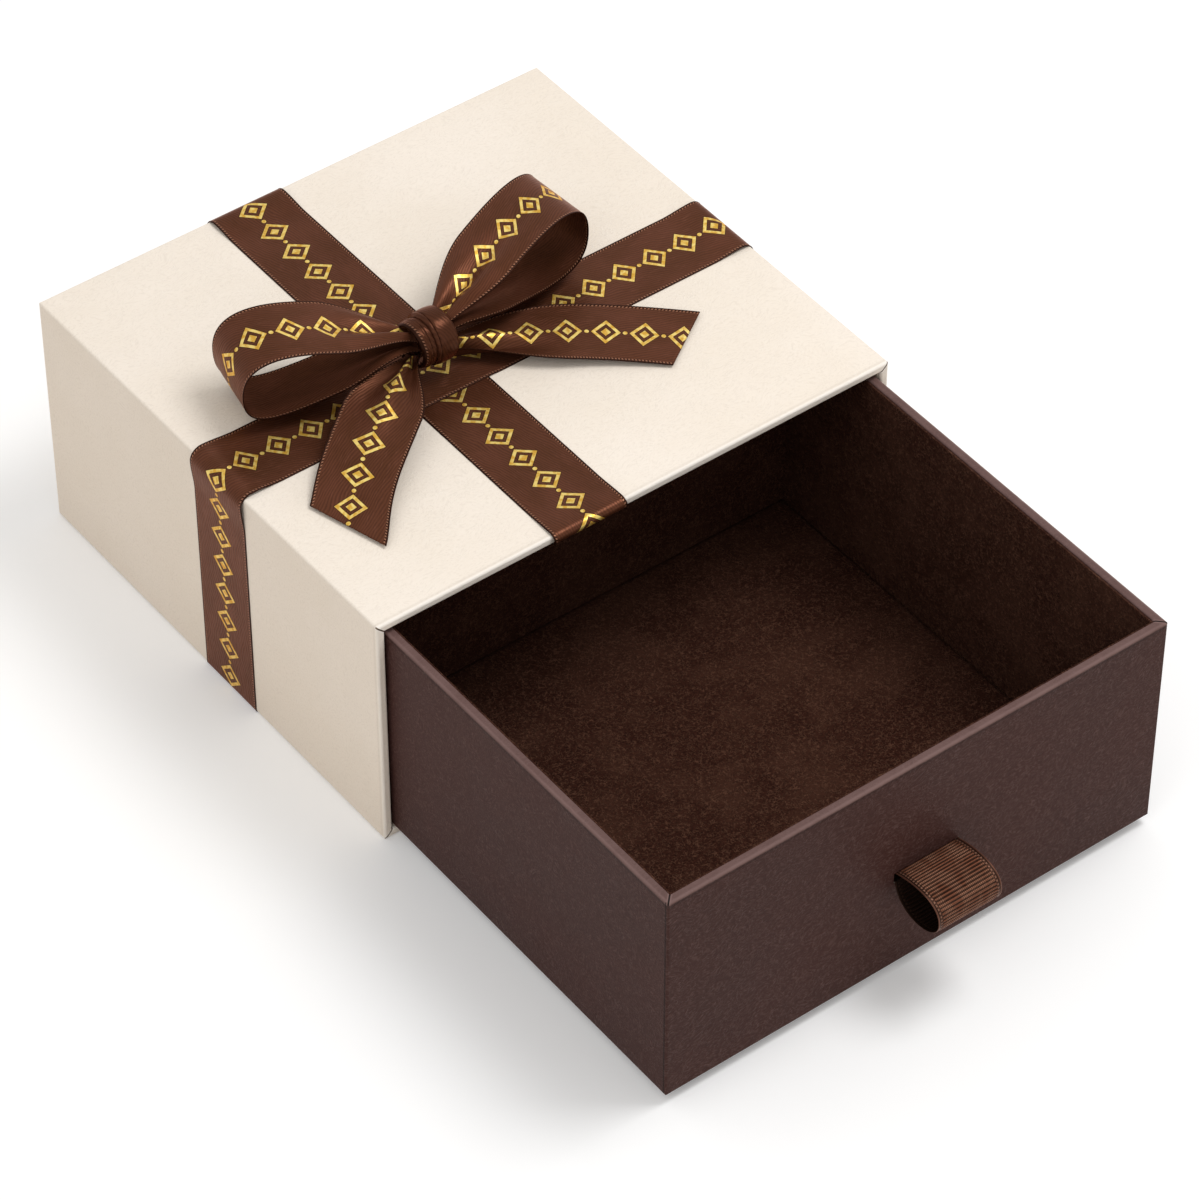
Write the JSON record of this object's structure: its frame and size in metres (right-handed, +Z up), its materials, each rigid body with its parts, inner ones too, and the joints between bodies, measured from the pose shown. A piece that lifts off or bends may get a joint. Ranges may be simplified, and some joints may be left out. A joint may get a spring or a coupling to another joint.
{
  "type": "sliding drawer gift box",
  "caption": "Rigid card gift box: a lined drawer with a ribbon pull slides in a closed-back sleeve that is tied round with ribbon and a bow.",
  "frame": {"origin": "middle of the sleeve's footprint, on the surface that the box rests on", "axes": "+X to the right across the mouth seen from the front, +Y towards the sleeve's closed back, +Z up; the drawer opens towards -Y"},
  "size_m": [0.3572, 0.6185, 0.2226],
  "materials": {
    "grey_board": "matt pressed grey board",
    "cream_paper": "matt wrapping paper with a fine leather-like grain",
    "cream_lining": "plain matt lining paper",
    "satin_ribbon": "satin ribbon with stitched edges and a gold foil pattern",
    "mauve_paper": "matt wrapping paper with a fine leather-like grain",
    "suede_card": "card covered with short suede nap",
    "suede_pad": "padded card covered with short suede nap",
    "grosgrain_ribbon": "ribbed grosgrain ribbon"
  },
  "bodies": {
    "sleeve": {"sleeve_top_board": "grey_board", "sleeve_bottom_board": "grey_board", "sleeve_left_board": "grey_board", "sleeve_right_board": "grey_board", "sleeve_back_board": "grey_board", "sleeve_wrap": "cream_paper", "sleeve_back_paper": "cream_paper", "sleeve_lining": "cream_lining", "length_ribbon": "satin_ribbon", "cross_ribbon": "satin_ribbon", "bow_knot": "satin_ribbon", "bow_loop_left": "satin_ribbon", "bow_loop_right": "satin_ribbon", "bow_tail_front": "satin_ribbon", "bow_tail_right": "satin_ribbon"},
    "drawer": {"drawer_base_board": "grey_board", "drawer_front_board": "grey_board", "drawer_back_board": "grey_board", "drawer_left_board": "grey_board", "drawer_right_board": "grey_board", "drawer_wrap": "mauve_paper", "drawer_base_paper": "mauve_paper", "lining_front": "suede_card", "lining_back": "suede_card", "lining_left": "suede_card", "lining_right": "suede_card", "floor_pad": "suede_pad", "pull_loop": "grosgrain_ribbon"}
  },
  "joints": [
    {"name": "drawer_slide", "type": "slide", "parent": "sleeve", "child": "drawer", "axis": [0, -1, 0], "range_m": [-0.247, 0.09]}
  ]
}
